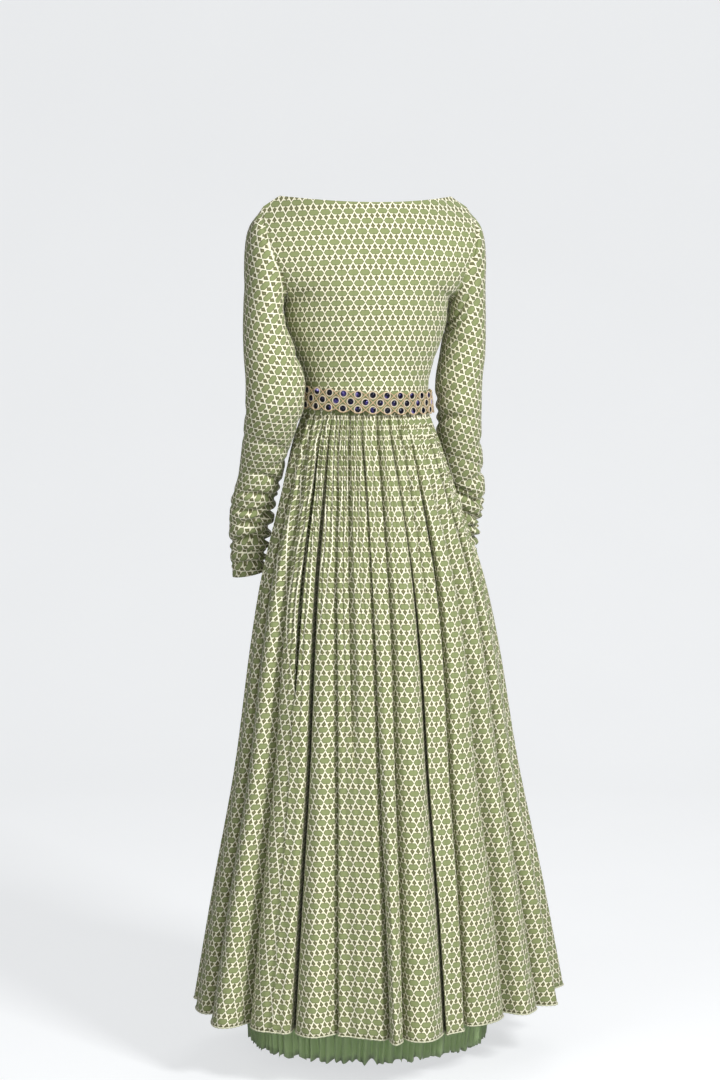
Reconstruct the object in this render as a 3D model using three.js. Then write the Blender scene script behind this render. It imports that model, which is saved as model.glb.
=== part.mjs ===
// Anarkali gown: fitted boat-neck bodice, long bias sleeves, ornamented waist belt,
// full gathered skirt in four panels, and a net underskirt whose foot shows below the hem.
// Millimetres, +Z up. The origin lies midway between the wearer's shoulders at neckline
// height; the back of the gown faces +Y, the wearer's left side is +X.
import * as THREE from 'three';

// ---- driving dimensions -------------------------------------------------------------
const CLOTH = 1.6;                 // wall of every cloth piece
const BELT_WALL = 2.4;             // stiffened belt band
const SEAM_GAP = 0.4;              // space between neighbouring pieces at a seam
const WAIST_SEAM = -336;           // height of the seam that joins bodice and skirt
const HEM = -1375;                 // height of the skirt's hem
const NET_FOOT = -1445;            // height of the net underskirt's foot
const NET_TOP = -343;              // height where the net leaves the waist seam
const NECK_HALF = 150;             // half the width of the boat neckline
const SHOULDER_HALF = 178;         // half the width across the shoulder points
const BELT_HEIGHT = 38;
const BELT_TILT = 0.045;           // rise of the belt for each mm towards the wearer's left
const BELT_SAG = 4;                // how far the belt dips at the centre back
const BELT_MIDDLE = -332;          // height of the belt's middle on the axis
const BELT_OPENING = 1.2;          // butt gap of the belt ends at the centre front

const rad = THREE.MathUtils.degToRad;
const clamp = THREE.MathUtils.clamp;
const lerp = THREE.MathUtils.lerp;
const smooth = (x) => THREE.MathUtils.smoothstep(x, 0, 1);

// Value of one column of a table at a height, on a smooth curve through its rows.
function column(table, key, height) {
  const last = table.length - 1;
  let i = 0;
  while (i < last - 1 && table[i + 1].z > height) i += 1;
  const [p, a, b, q] = [table[Math.max(i - 1, 0)], table[i], table[i + 1], table[Math.min(i + 2, last)]];
  const t = clamp((height - a.z) / (b.z - a.z), 0, 1);
  const span = b.z - a.z;
  const startSlope = i > 0 ? (b[key] - p[key]) / (b.z - p.z) : (b[key] - a[key]) / span;
  const endSlope = i < last - 1 ? (q[key] - a[key]) / (q.z - a.z) : (b[key] - a[key]) / span;
  const [t2, t3] = [t * t, t * t * t];
  return (2 * t3 - 3 * t2 + 1) * a[key] + (t3 - 2 * t2 + t) * span * startSlope
    + (3 * t2 - 2 * t3) * b[key] + (t3 - t2) * span * endSlope;
}

// ---- a cloth wall over a grid of points ----------------------------------------------
// Outward normals of a grid[row][col] of points; closed grids wrap round in col.
function gridNormals(grid, closed) {
  const rows = grid.length;
  const cols = grid[0].length;
  return grid.map((line, r) => line.map((_, c) => {
    const left = closed ? line[(c + cols - 1) % cols] : line[Math.max(c - 1, 0)];
    const right = closed ? line[(c + 1) % cols] : line[Math.min(c + 1, cols - 1)];
    const above = grid[Math.max(r - 1, 0)][c];
    const below = grid[Math.min(r + 1, rows - 1)][c];
    const across = new THREE.Vector3().subVectors(right, left);
    const down = new THREE.Vector3().subVectors(below, above);
    return down.cross(across).normalize();
  }));
}

// One closed solid between an outer grid and the same grid moved inwards by the wall.
function clothWall(name, grid, { closed = false, wall = CLOTH, normals = null, material }) {
  const rows = grid.length;
  const cols = grid[0].length;
  const outward = normals ?? gridNormals(grid, closed);
  const positions = [];
  for (const side of [0, 1]) {
    grid.forEach((line, r) => line.forEach((point, c) => {
      const p = point.clone().addScaledVector(outward[r][c], -wall * side);
      positions.push(p.x, p.y, p.z);
    }));
  }
  const at = (side, r, c) => side * rows * cols + r * cols + (c % cols);
  const index = [];
  const quad = (a, b, c, d) => index.push(a, b, c, a, c, d);
  const bands = closed ? cols : cols - 1;
  for (let c = 0; c < bands; c += 1) {
    for (let r = 0; r < rows - 1; r += 1) {
      quad(at(0, r, c), at(0, r + 1, c), at(0, r + 1, c + 1), at(0, r, c + 1));
      quad(at(1, r, c), at(1, r, c + 1), at(1, r + 1, c + 1), at(1, r + 1, c));
    }
    quad(at(0, 0, c), at(0, 0, c + 1), at(1, 0, c + 1), at(1, 0, c));
    quad(at(0, rows - 1, c), at(1, rows - 1, c), at(1, rows - 1, c + 1), at(0, rows - 1, c + 1));
  }
  if (!closed) {
    for (let r = 0; r < rows - 1; r += 1) {
      quad(at(0, r, 0), at(1, r, 0), at(1, r + 1, 0), at(0, r + 1, 0));
      quad(at(0, r, cols - 1), at(0, r + 1, cols - 1), at(1, r + 1, cols - 1), at(1, r, cols - 1));
    }
  }
  const geometry = new THREE.BufferGeometry();
  geometry.setAttribute('position', new THREE.Float32BufferAttribute(positions, 3));
  geometry.setIndex(index);
  geometry.computeVertexNormals();
  const mesh = new THREE.Mesh(geometry, material);
  mesh.name = name;
  return mesh;
}

// ---- materials ----------------------------------------------------------------------
const finish = (color, roughness, metalness) => new THREE.MeshStandardMaterial({
  color, roughness, metalness, side: THREE.DoubleSide,
});
const printedCotton = () => finish('#b5c28a', 0.85, 0);
const greenNet = () => finish('#6f9650', 0.7, 0);
const beltCord = () => finish('#c9a86a', 0.5, 0.3);

// ---- bodice -------------------------------------------------------------------------
// Rows from the shoulder down to the waist seam. middle and edge are the points of a row
// at the centre of the panel and at its side, where it meets the sleeve or the side seam.
// bow is the power that gives the row its curve: 0.5 is an ellipse, more is flatter.
const ARMHOLE_ROWS = 5;            // rows that end at the armhole; the rest end at the side seam
const BODICE = {
  back: [
    { midY: 66, midZ: -9, edgeX: SHOULDER_HALF, edgeY: 0, edgeZ: -11, bow: 1.0 },
    { midY: 81, midZ: -34, edgeX: 182, edgeY: 34, edgeZ: -44, bow: 0.9 },
    { midY: 93, midZ: -66, edgeX: 174, edgeY: 52, edgeZ: -84, bow: 0.8 },
    { midY: 102, midZ: -102, edgeX: 158, edgeY: 58, edgeZ: -122, bow: 0.7 },
    { midY: 106, midZ: -136, edgeX: 146, edgeY: 40, edgeZ: -152, bow: 0.6 },
    { midY: 107, midZ: -167, edgeX: 143, edgeY: 0, edgeZ: -167, bow: 0.5 },
    { midY: 103, midZ: -202, edgeX: 139, edgeY: 0, edgeZ: -202, bow: 0.5 },
    { midY: 97, midZ: -236, edgeX: 130, edgeY: 0, edgeZ: -236, bow: 0.5 },
    { midY: 90, midZ: -268, edgeX: 117, edgeY: 0, edgeZ: -268, bow: 0.5 },
    { midY: 86, midZ: -300, edgeX: 108.5, edgeY: 0, edgeZ: -300, bow: 0.5 },
    { midY: 85, midZ: WAIST_SEAM, edgeX: 107.5, edgeY: 0, edgeZ: WAIST_SEAM, bow: 0.5 },
  ],
  front: [
    { midY: 70, midZ: -24, edgeX: SHOULDER_HALF, edgeY: 0, edgeZ: -11, bow: 1.0 },
    { midY: 86, midZ: -48, edgeX: 179, edgeY: 32, edgeZ: -45, bow: 0.9 },
    { midY: 101, midZ: -78, edgeX: 168, edgeY: 50, edgeZ: -84, bow: 0.8 },
    { midY: 114, midZ: -108, edgeX: 153, edgeY: 56, edgeZ: -122, bow: 0.7 },
    { midY: 122, midZ: -138, edgeX: 145, edgeY: 38, edgeZ: -152, bow: 0.6 },
    { midY: 123, midZ: -167, edgeX: 143, edgeY: 0, edgeZ: -167, bow: 0.5 },
    { midY: 117, midZ: -202, edgeX: 139, edgeY: 0, edgeZ: -202, bow: 0.5 },
    { midY: 107, midZ: -236, edgeX: 130, edgeY: 0, edgeZ: -236, bow: 0.5 },
    { midY: 94, midZ: -268, edgeX: 117, edgeY: 0, edgeZ: -268, bow: 0.5 },
    { midY: 86.5, midZ: -300, edgeX: 108.5, edgeY: 0, edgeZ: -300, bow: 0.5 },
    { midY: 85, midZ: WAIST_SEAM, edgeX: 107.5, edgeY: 0, edgeZ: WAIST_SEAM, bow: 0.5 },
  ],
};
const NECK_END_Z = 5;              // height of the neckline's two ends on the shoulders
const NECK_SHARE = NECK_HALF / SHOULDER_HALF;
const BODICE_STEPS = [0, 0.17, 0.34, 0.51, Math.asin(NECK_SHARE) * 2 / Math.PI, 0.84, 1];

function bodicePoint(row, isTop, step, facing) {
  const across = Math.sin(Math.abs(step) * Math.PI / 2);
  const x = Math.sign(step) * row.edgeX * across;
  if (!isTop) {
    const rise = Math.pow(Math.max(1 - across * across, 0), row.bow);
    const depth = row.edgeY + (row.midY - row.edgeY) * rise;
    const z = lerp(row.midZ, row.edgeZ, across ** 3);
    return new THREE.Vector3(x, facing * Math.max(depth, SEAM_GAP / 2), z);
  }
  const share = Math.min(across / NECK_SHARE, 1);
  const beyond = clamp((across - NECK_SHARE) / (1 - NECK_SHARE), 0, 1);
  const depth = row.midY * (1 - share ** 2.2);
  const z = lerp(lerp(row.midZ, NECK_END_Z, share * share), row.edgeZ, beyond);
  return new THREE.Vector3(x, facing * Math.max(depth, SEAM_GAP / 2), z);
}

// The points and outward normals of one bodice panel, from the wearer's left to right
// seen from outside. At the side and shoulder seams both panels share their normals.
function bodiceSheet(rows, facing) {
  const half = BODICE_STEPS.slice(1);
  const steps = [...half.map((s) => -s).reverse(), 0, ...half];
  const order = facing > 0 ? steps.slice().reverse() : steps;
  const grid = rows.map((row, r) => order.map((s) => bodicePoint(row, r === 0, s, facing)));
  const normals = gridNormals(grid, false);
  normals.forEach((line, r) => line.forEach((n, c) => {
    const onSideSeam = r >= ARMHOLE_ROWS && (c === 0 || c === line.length - 1);
    const onShoulderSeam = r === 0 && Math.abs(grid[r][c].y) < SEAM_GAP;
    if (onSideSeam) n.set(Math.sign(grid[r][c].x), 0, 0);
    if (onShoulderSeam) n.set(Math.sign(grid[r][c].x) * 0.3, 0, 1).normalize();
  }));
  return { grid, normals };
}

const backSheet = bodiceSheet(BODICE.back, 1);
const frontSheet = bodiceSheet(BODICE.front, -1);

// ---- sleeves ------------------------------------------------------------------------
// Rings from the sleeve head down to the wrist. x, y and z are the ring's middle, lean
// turns the ring from level (0) up towards the plane of the armhole (90), and out and
// deep are its half sizes across and front to back.
const SLEEVES = {
  left: [
    { x: 174, y: 3, z: -111, lean: 70, out: 76, deep: 57 },
    { x: 178, y: 9, z: -137, lean: 62, out: 68, deep: 55 },
    { x: 179, y: 17, z: -177, lean: 47, out: 51, deep: 53 },
    { x: 178, y: 28, z: -218, lean: 19, out: 43, deep: 50 },
    { x: 176, y: 36, z: -258, lean: 5, out: 44, deep: 48 },
    { x: 170, y: 38, z: -300, lean: 0, out: 46, deep: 47 },
    { x: 170, y: 28, z: -350, lean: 0, out: 46, deep: 46 },
    { x: 172, y: -8, z: -405, lean: 0, out: 41, deep: 42 },
    { x: 173, y: -50, z: -465, lean: -4, out: 38.5, deep: 39 },
    { x: 178, y: -76, z: -510, lean: -6, out: 38, deep: 38 },
    { x: 180, y: -88, z: -545, lean: -8, out: 37, deep: 37 },
    { x: 180, y: -99, z: -577, lean: -8, out: 34, deep: 34 },
    { x: 179, y: -108, z: -608, lean: -10, out: 31, deep: 31 },
    { x: 178, y: -117, z: -639, lean: -12, out: 27, deep: 26 },
  ],
  right: [
    { x: 174, y: -1, z: -111, lean: 70, out: 76, deep: 57 },
    { x: 178, y: -4, z: -137, lean: 62, out: 67, deep: 55 },
    { x: 178, y: -9, z: -176, lean: 47, out: 49, deep: 53 },
    { x: 178, y: -13, z: -216, lean: 19, out: 38, deep: 50 },
    { x: 176, y: -15, z: -257, lean: 5, out: 39, deep: 48 },
    { x: 170, y: -15, z: -300, lean: 0, out: 40, deep: 46 },
    { x: 170, y: -19, z: -350, lean: 0, out: 40, deep: 44 },
    { x: 176, y: -33, z: -405, lean: 0, out: 39, deep: 41 },
    { x: 188, y: -58, z: -465, lean: -4, out: 39, deep: 40 },
    { x: 195, y: -76, z: -510, lean: -6, out: 38, deep: 38 },
    { x: 195, y: -88, z: -545, lean: -8, out: 37, deep: 37 },
    { x: 197, y: -98, z: -577, lean: -8, out: 34, deep: 34 },
    { x: 197, y: -107, z: -608, lean: -10, out: 31, deep: 31 },
    { x: 198, y: -116, z: -639, lean: -12, out: 27, deep: 26 },
  ],
};
const RUCHE_TOP = -480;            // the gathers of the long cuff start here
const RUCHE_DEPTH = 2.2;           // how far the cuff's gathers stand in and out
const SLEEVE_SIDES = 20;           // two for each row of the bodice that ends at the armhole
const SLEEVE_LIFT = 0.8;           // clearance of the sleeve head at the armhole

// The armhole edge of both bodice panels as a closed ring of points and normals: over the
// shoulder, down the back, under the arm and up the front, moved off the panels' edge.
function armhole(side) {
  const climb = (sheet, facing) => Array.from({ length: ARMHOLE_ROWS + 1 }, (_, r) => {
    const c = side * facing > 0 ? 0 : sheet.grid[r].length - 1;
    return { point: sheet.grid[r][c], normal: sheet.normals[r][c] };
  });
  const back = climb(backSheet, 1);
  const front = climb(frontSheet, -1).reverse().slice(1, -1);
  const knots = [...back, ...front];
  const count = knots.length;
  const lifted = knots.map(({ point, normal }, k) => {
    const next = knots[(k + 1) % count].point;
    const last = knots[(k + count - 1) % count].point;
    const outwards = new THREE.Vector3().subVectors(next, last).cross(normal).normalize();
    return { point: point.clone().addScaledVector(outwards, side * SLEEVE_LIFT), normal };
  });
  const between = (k, key) => lifted[k][key].clone().lerp(lifted[(k + 1) % count][key], 0.5);
  return {
    points: lifted.flatMap(({ point }, k) => [point, between(k, 'point')]),
    normals: lifted.flatMap(({ normal }, k) => [normal.clone(), between(k, 'normal').normalize()]),
  };
}

function sleeve(name, side) {
  const rows = side > 0 ? SLEEVES.left : SLEEVES.right;
  const rings = rows.map((row, r) => {
    const lean = rad(row.lean);
    const ruche = row.z < RUCHE_TOP ? RUCHE_DEPTH * (r % 2 ? 1 : -1) : 0;
    return Array.from({ length: SLEEVE_SIDES }, (_, k) => {
      const turn = k / SLEEVE_SIDES * 2 * Math.PI;
      const out = (row.out + ruche) * Math.cos(turn);
      const deep = (row.deep + ruche) * Math.sin(turn);
      return new THREE.Vector3(side * (row.x + out * Math.cos(lean)), row.y + deep,
        row.z + out * Math.sin(lean));
    });
  });
  const head = armhole(side);
  const grid = [head.points, ...rings];
  if (side < 0) grid.forEach((ring) => ring.reverse());
  const normals = gridNormals(grid, true);
  // Over the shoulder the sleeve's wall follows the bodice; under the arm it turns away from it.
  const shared = side < 0 ? head.normals.reverse() : head.normals;
  normals[0].forEach((n, k) => {
    const turn = (side < 0 ? SLEEVE_SIDES - 1 - k : k) / SLEEVE_SIDES;
    const under = smooth(2 - 4 * Math.abs(turn - 0.5) - 0.6);
    n.lerpVectors(shared[k], n, under).normalize();
  });
  return clothWall(name, grid, { closed: true, normals, material: printedCotton() });
}

// ---- skirt --------------------------------------------------------------------------
// Level rings of the skirt along its ridges: half sizes and the shift of the middle.
const SKIRT = [
  { z: WAIST_SEAM - SEAM_GAP, wide: 108.5, deep: 85.5, x: 0, y: 0 },
  { z: -362, wide: 112, deep: 88.5, x: 0, y: 0 },
  { z: -405, wide: 127, deep: 104, x: -1, y: 0 },
  { z: -490, wide: 150, deep: 126, x: -6, y: 0 },
  { z: -635, wide: 189, deep: 164, x: -13, y: -2 },
  { z: -762, wide: 211, deep: 190, x: -17, y: -4 },
  { z: -965, wide: 237, deep: 222, x: -21, y: -7 },
  { z: -1170, wide: 272, deep: 264, x: -25, y: -9 },
  { z: HEM, wide: 303, deep: 300, x: -28, y: -11 },
];
// One row for each large fold, going round from the wearer's left side over the back.
// waist and hem are the angles of its valley in degrees from +X towards +Y, depth is how
// deep the valley is at the hem, lean how far its bottom slips sideways there, reach how
// far the ridge after it stands out, and end the share of the length where it dies out.
const FOLDS = [
  { waist: -6, hem: -9, depth: 26, lean: -6, reach: 24, end: 1 },
  { waist: 9, hem: 12, depth: 40, lean: -24, reach: 42, end: 1 },
  { waist: 23, hem: 32, depth: 62, lean: -58, reach: 4, end: 1 },
  { waist: 36, hem: 38.5, depth: 14, lean: 0, reach: -4, end: 0.5 },
  { waist: 46, hem: 45, depth: 30, lean: -10, reach: -6, end: 1 },
  { waist: 54, hem: 59, depth: 30, lean: 0, reach: -30, end: 1 },
  { waist: 63, hem: 68, depth: 14, lean: 0, reach: -16, end: 0.62 },
  { waist: 73, hem: 77, depth: 26, lean: 5, reach: 18, end: 1 },
  { waist: 89, hem: 82, depth: 34, lean: 8, reach: 8, end: 1 },
  { waist: 99, hem: 97, depth: 28, lean: 8, reach: -26, end: 1 },
  { waist: 109, hem: 102, depth: 12, lean: 0, reach: -30, end: 0.4 },
  { waist: 119, hem: 108, depth: 30, lean: 8, reach: -42, end: 1 },
  { waist: 128, hem: 131, depth: 46, lean: 40, reach: -20, end: 1 },
  { waist: 140, hem: 149, depth: 30, lean: 14, reach: 8, end: 1 },
  { waist: 153, hem: 160, depth: 18, lean: 0, reach: -2, end: 0.8 },
  { waist: 166, hem: 173, depth: 26, lean: -8, reach: 34, end: 1 },
  { waist: 178, hem: 186, depth: 36, lean: 14, reach: 46, end: 1 },
  { waist: 191, hem: 197, depth: 28, lean: -6, reach: 24, end: 1 },
  { waist: 203, hem: 211, depth: 44, lean: 24, reach: 14, end: 1 },
  { waist: 215, hem: 219, depth: 14, lean: 0, reach: 0, end: 0.55 },
  { waist: 226, hem: 229, depth: 34, lean: -10, reach: -8, end: 1 },
  { waist: 238, hem: 243, depth: 30, lean: 6, reach: 10, end: 1 },
  { waist: 249, hem: 251, depth: 14, lean: 0, reach: 4, end: 0.7 },
  { waist: 260, hem: 262, depth: 38, lean: -12, reach: 16, end: 1 },
  { waist: 271, hem: 275, depth: 30, lean: 8, reach: 2, end: 1 },
  { waist: 283, hem: 284, depth: 14, lean: 0, reach: -4, end: 0.5 },
  { waist: 295, hem: 297, depth: 36, lean: 14, reach: 12, end: 1 },
  { waist: 307, hem: 310, depth: 42, lean: -20, reach: 18, end: 1 },
  { waist: 319, hem: 319, depth: 16, lean: 0, reach: 6, end: 0.6 },
  { waist: 331, hem: 330, depth: 34, lean: 8, reach: 12, end: 1 },
  { waist: 343, hem: 341, depth: 28, lean: -6, reach: 20, end: 1 },
];
// The skirt's four panels, each from one fold to another; their seams hide in shallow folds.
const PANELS = [
  { name: 'skirt_back', first: 3, last: 14 },
  { name: 'skirt_right', first: 14, last: 22 },
  { name: 'skirt_front', first: 22, last: 28 },
  { name: 'skirt_left', first: 28, last: 34 },
];
const WAIST_DEPTH = 3;             // depth of the gathers right at the waist seam
const DRIFT = 0.7;                 // how soon the valleys reach their hem angle
const DEEPEN = 1.15;               // how late the valleys reach their full depth
const FLARE = 1.5;                 // how late the ridges reach out
const RIDGE_ROUND = 0.6;           // roundness of the ridges against the sharp valleys
const FOLD_STEPS = [0, 0.18, 0.5, 0.82];
const SKIRT_LEVELS = [0, 0.025, 0.066, 0.15, 0.29, 0.45, 0.62, 0.81, 1];

function foldRow(k) {
  const row = FOLDS[k % FOLDS.length];
  const turns = Math.floor(k / FOLDS.length) * 360;
  return { ...row, waist: row.waist + turns, hem: row.hem + turns };
}

// Point of the skirt at a share of its length, a share of the way past fold number k.
function skirtPoint(k, share, level) {
  const [a, b] = [foldRow(k), foldRow(k + 1)];
  const z = lerp(WAIST_SEAM - SEAM_GAP, HEM, level);
  const drift = level ** DRIFT;
  const angle = rad(lerp(lerp(a.waist, a.hem, drift), lerp(b.waist, b.hem, drift), share));
  const grown = (row) => {
    const fade = row.end < 1 ? 1 - smooth((level - row.end + 0.2) / 0.2) : 1;
    return (WAIST_DEPTH + (row.depth - WAIST_DEPTH) * level ** DEEPEN) * fade;
  };
  const cup = 1 - Math.sin(Math.PI * share) ** RIDGE_ROUND;
  const near = smooth(share);
  const depth = lerp(grown(a), grown(b), near) * cup;
  const slip = lerp(a.lean, b.lean, near) * cup * level ** DEEPEN;
  const before = foldRow(k + FOLDS.length - 1).reach;
  const ridge = share < 0.5
    ? lerp((before + a.reach) / 2, a.reach, smooth(share * 2))
    : lerp(a.reach, (a.reach + b.reach) / 2, smooth(share * 2 - 1));
  const out = ridge * level ** FLARE - depth;
  const [c, s] = [Math.cos(angle), Math.sin(angle)];
  return new THREE.Vector3(
    column(SKIRT, 'x', z) + (column(SKIRT, 'wide', z) + out) * c - slip * s,
    column(SKIRT, 'y', z) + (column(SKIRT, 'deep', z) + out) * s + slip * c, z);
}

function skirtPanel({ name, first, last }) {
  const grid = SKIRT_LEVELS.map((level) => {
    const line = [];
    for (let k = first; k < last; k += 1) {
      FOLD_STEPS.forEach((share) => line.push(skirtPoint(k, share, level)));
    }
    line.push(skirtPoint(last, 0, level));
    return line;
  });
  const normals = gridNormals(grid, false);
  grid.forEach((line, r) => {
    const ends = [0, line.length - 1];
    ends.forEach((c) => {
      const inward = c === 0 ? 1 : -1;
      const { x, y, z } = line[c];
      const radial = new THREE.Vector3(x - column(SKIRT, 'x', z), y - column(SKIRT, 'y', z), 0).normalize();
      const along = new THREE.Vector3(-radial.y, radial.x, 0);
      line[c].addScaledVector(along, inward * SEAM_GAP / 2);
      normals[r][c].copy(radial);
    });
  });
  return clothWall(name, grid, { normals, material: printedCotton() });
}

// ---- net underskirt -----------------------------------------------------------------
const NET = [
  { z: NET_TOP, wide: 101, deep: 78, x: 0, y: 0 },
  { z: -405, wide: 112, deep: 89, x: 0, y: 0 },
  { z: -541, wide: 131, deep: 113, x: -6, y: -1 },
  { z: -762, wide: 157, deep: 146, x: -10, y: -4 },
  { z: -1069, wide: 187, deep: 175, x: -11, y: -9 },
  { z: HEM, wide: 212, deep: 192, x: -10, y: -18 },
  { z: NET_FOOT, wide: 208, deep: 186, x: -10, y: -24 },
];
const NET_PANELS = ['net_back_left', 'net_back_right', 'net_front_right', 'net_front_left'];
const NET_SIDES = 12;              // sides of one panel
const NET_PLEAT = 2.5;             // depth of the net's small pleats
const NET_LEVELS = [0, 0.18, 0.45, 0.75, 1];

// A quarter of the net, going round from the wearer's left side over the back.
function netPanel(name, quarter) {
  const grid = NET_LEVELS.map((level) => {
    const z = lerp(NET_TOP, NET_FOOT, level);
    const [wide, deep] = [column(NET, 'wide', z), column(NET, 'deep', z)];
    const seam = SEAM_GAP / 2 / deep;
    return Array.from({ length: NET_SIDES + 1 }, (_, k) => {
      const share = k / NET_SIDES;
      const angle = quarter * Math.PI / 2 + lerp(seam, Math.PI / 2 - seam, share);
      const pleat = (k % 2 ? -1 : 1) * NET_PLEAT * level;
      return new THREE.Vector3(
        column(NET, 'x', z) + (wide + pleat) * Math.cos(angle),
        column(NET, 'y', z) + (deep + pleat) * Math.sin(angle), z);
    });
  });
  const normals = gridNormals(grid, false);
  normals.forEach((line) => {
    line[0].set(Math.cos(quarter * Math.PI / 2), Math.sin(quarter * Math.PI / 2), 0);
    line[NET_SIDES].set(Math.cos((quarter + 1) * Math.PI / 2), Math.sin((quarter + 1) * Math.PI / 2), 0);
  });
  return clothWall(name, grid, { normals, material: greenNet() });
}

// ---- belt ---------------------------------------------------------------------------
// A band round the waist seam, open at the centre front where its ends butt.
const BELT = { topWide: 109.6, topDeep: 87.8, footWide: 114.2, footDeep: 90.8 };
const BELT_SIDES = 48;

function belt() {
  const half = BELT_OPENING / 2 / BELT.topDeep;
  const grid = [0, 1].map((drop) => {
    const wide = lerp(BELT.topWide, BELT.footWide, drop) + BELT_WALL;
    const deep = lerp(BELT.topDeep, BELT.footDeep, drop) + BELT_WALL;
    return Array.from({ length: BELT_SIDES + 1 }, (_, k) => {
      const angle = -Math.PI / 2 + half + (k / BELT_SIDES) * (2 * Math.PI - 2 * half);
      const [x, y] = [wide * Math.cos(angle), deep * Math.sin(angle)];
      const sag = BELT_SAG * Math.max(Math.sin(angle), 0);
      return new THREE.Vector3(x, y, BELT_MIDDLE + BELT_HEIGHT * (0.5 - drop) + BELT_TILT * x - sag);
    });
  });
  return clothWall('belt_band', grid, { wall: BELT_WALL, material: beltCord() });
}

// ---- the gown -----------------------------------------------------------------------
const gown = new THREE.Group();
[['bodice_back', backSheet], ['bodice_front', frontSheet]].forEach(([name, { grid, normals }]) => {
  gown.add(clothWall(name, grid, { normals, material: printedCotton() }));
});
gown.add(sleeve('sleeve_left', 1));
gown.add(sleeve('sleeve_right', -1));
PANELS.forEach((panel) => gown.add(skirtPanel(panel)));
NET_PANELS.forEach((name, quarter) => gown.add(netPanel(name, quarter)));
gown.add(belt());

export default gown;
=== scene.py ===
"""Anarkali gown: printed bodice, bias sleeves, gathered skirt, net underskirt and mirror belt."""
import math

import bpy
import numpy as np
from bpy.props import FloatProperty, FloatVectorProperty, IntProperty, PointerProperty
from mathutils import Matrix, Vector


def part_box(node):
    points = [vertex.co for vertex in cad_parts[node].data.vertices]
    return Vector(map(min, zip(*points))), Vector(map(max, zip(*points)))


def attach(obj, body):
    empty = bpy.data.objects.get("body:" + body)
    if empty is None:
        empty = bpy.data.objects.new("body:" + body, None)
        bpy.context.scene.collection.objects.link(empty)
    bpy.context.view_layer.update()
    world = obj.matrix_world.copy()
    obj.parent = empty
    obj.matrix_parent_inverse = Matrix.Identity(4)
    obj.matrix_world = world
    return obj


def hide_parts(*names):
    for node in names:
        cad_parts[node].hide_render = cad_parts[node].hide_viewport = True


bl_info = {
    "name": "Anarkali gown",
    "version": (1, 0, 0),
    "blender": (4, 5, 0),
    "location": "View3D > Sidebar > Gown",
    "description": "Makes a printed, gathered gown with a mirror-work belt",
    "category": "Object",
}

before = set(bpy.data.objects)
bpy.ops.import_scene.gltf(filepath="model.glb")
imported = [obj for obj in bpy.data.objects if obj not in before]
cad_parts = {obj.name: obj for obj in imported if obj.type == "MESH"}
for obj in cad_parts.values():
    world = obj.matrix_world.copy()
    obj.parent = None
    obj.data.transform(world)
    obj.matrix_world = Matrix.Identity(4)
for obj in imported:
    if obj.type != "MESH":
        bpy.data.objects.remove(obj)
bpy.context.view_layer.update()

MM = 0.001
BODY = "root"
SEED = 11


def table(columns, *rows):
    """Rows of numbers with named columns."""
    return [dict(zip(columns.split(), row)) for row in rows]


# ---- sizes in millimetres, heights below the neckline --------------------------------
WAIST_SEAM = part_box("bodice_back")[0].z / MM
SKIRT_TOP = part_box("skirt_back")[1].z / MM
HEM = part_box("skirt_back")[0].z / MM
NET_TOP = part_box("net_back_left")[1].z / MM
NET_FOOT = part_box("net_back_left")[0].z / MM
FLOOR = -1475.0

NECK_SHARE = 150 / 178             # half the neckline's width over half the shoulders'
NECK_END_Z = 9
ARMHOLE_ROWS = 5
BODICE_BACK = table(
    "midY midZ edgeX edgeY edgeZ bow",
    (66, -2, 178, 0, -9, 1.0),
    (81, -34, 182, 34, -44, 0.9),
    (93, -66, 174, 52, -84, 0.8),
    (102, -102, 158, 58, -122, 0.7),
    (106, -136, 146, 40, -152, 0.6),
    (107, -167, 143, 0, -167, 0.5),
    (103, -202, 139, 0, -202, 0.5),
    (97, -236, 130, 0, -236, 0.5),
    (90, -268, 117, 0, -268, 0.5),
    (86, -300, 108.5, 0, -300, 0.5),
    (85, WAIST_SEAM, 107.5, 0, WAIST_SEAM, 0.5),
)
BODICE_FRONT = table(
    "midY midZ edgeX edgeY edgeZ bow",
    (70, -24, 178, 0, -11, 1.0),
    (86, -48, 179, 32, -45, 0.9),
    (101, -78, 168, 50, -84, 0.8),
    (114, -108, 153, 56, -122, 0.7),
    (122, -138, 145, 38, -152, 0.6),
    (123, -167, 143, 0, -167, 0.5),
    (117, -202, 139, 0, -202, 0.5),
    (107, -236, 130, 0, -236, 0.5),
    (94, -268, 117, 0, -268, 0.5),
    (86.5, -300, 108.5, 0, -300, 0.5),
    (85, WAIST_SEAM, 107.5, 0, WAIST_SEAM, 0.5),
)
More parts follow.
